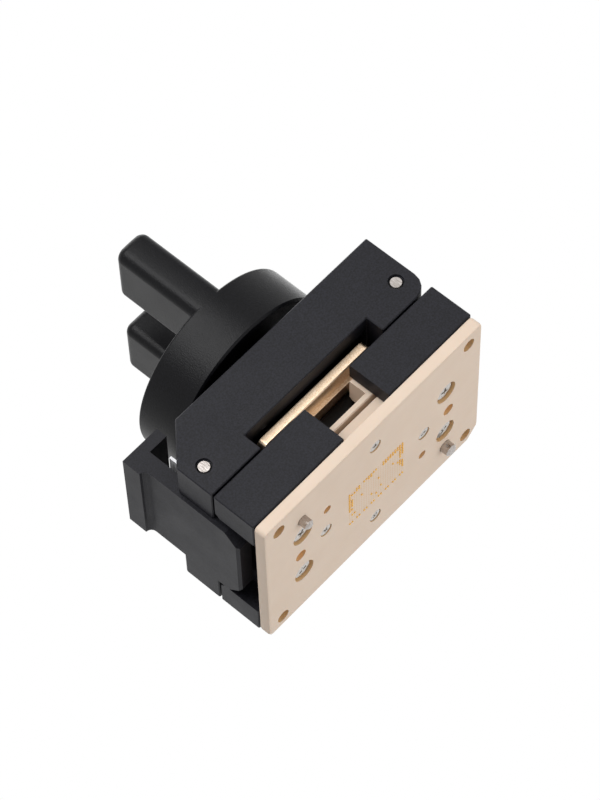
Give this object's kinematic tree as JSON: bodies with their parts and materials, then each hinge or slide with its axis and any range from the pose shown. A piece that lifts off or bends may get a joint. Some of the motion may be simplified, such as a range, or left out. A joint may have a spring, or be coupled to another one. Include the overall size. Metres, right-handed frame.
{
  "type": "bga test socket",
  "caption": "Open-top test socket for a ball-grid chip: probe plate, floating nest, hinged lid with sprung latch, and a winged knob that screws a pressure plate down.",
  "frame": {"origin": "centre of the probe plate's board face", "axes": "+Z from the board up through the knob, +X towards the hinge, -X towards the latch, -Y towards the long side whose body cut-out is full height"},
  "size_m": [0.0459, 0.03, 0.0472],
  "materials": {
    "beige_polymer": "machined beige engineering polymer, matt",
    "black_anodised": "black anodised, fine satin",
    "black_knob": "black satin polymer",
    "brass": "milled brass",
    "steel": "ground bright steel",
    "spring_steel": "bright spring steel"
  },
  "bodies": {
    "base": {"base_plate": "beige_polymer", "pin_guide_block": "beige_polymer", "socket_body": "black_anodised", "body_screw_1": "steel", "body_screw_2": "steel", "body_screw_3": "steel", "body_screw_4": "steel", "guide_screw_1": "steel", "guide_screw_2": "steel", "guide_screw_3": "steel", "guide_screw_4": "steel", "dowel_pin_hinge_side": "steel", "dowel_pin_latch_side": "steel", "hinge_pin": "steel", "nest_screw_1": "steel", "nest_screw_2": "steel", "nest_screw_3": "steel", "nest_screw_4": "steel", "nest_spring_1": "spring_steel", "nest_spring_2": "spring_steel", "nest_spring_3": "spring_steel", "nest_spring_4": "spring_steel"},
    "nest": {"nest": "beige_polymer"},
    "lid": {"lid": "black_anodised", "latch_pin": "steel", "latch_spring": "spring_steel", "plate_guide_pin_1": "steel", "plate_guide_pin_2": "steel"},
    "latch": {"latch": "black_anodised"},
    "press": {"pressure_plate": "brass", "pusher_block": "black_anodised", "shoulder_screw": "steel", "thrust_washer": "steel"},
    "knob": {"knob": "black_knob", "knob_stem": "steel", "knob_screw": "steel"}
  },
  "joints": [
    {"name": "lid_hinge", "type": "hinge", "parent": "base", "child": "lid", "pos_m": [0.0195, 0, 0.01335], "axis": [0, 1, 0], "range_deg": [0, 100]},
    {"name": "latch_pivot", "type": "hinge", "parent": "lid", "child": "latch", "pos_m": [-0.0195, 0, 0.01335], "axis": [0, 1, 0], "range_deg": [0, 8], "stiffness_Nm_per_rad": 0.2, "springref_deg": -5.73},
    {"name": "press_slide", "type": "slide", "parent": "lid", "child": "press", "axis": [0, 0, -1], "range_m": [0, 0.001]},
    {"name": "knob_turn", "type": "hinge", "parent": "press", "child": "knob", "pos_m": [0, 0, 0.025], "axis": [0, 0, -1], "range_deg": [0, 180]},
    {"name": "nest_slide", "type": "slide", "parent": "base", "child": "nest", "axis": [0, 0, -1], "range_m": [0, 0.00055], "stiffness_N_per_m": 200, "springref_m": -0.0005}
  ],
  "couplings": [
    {"joint": "knob_turn", "follows": "press_slide", "rad_per_m": 3141.6}
  ]
}
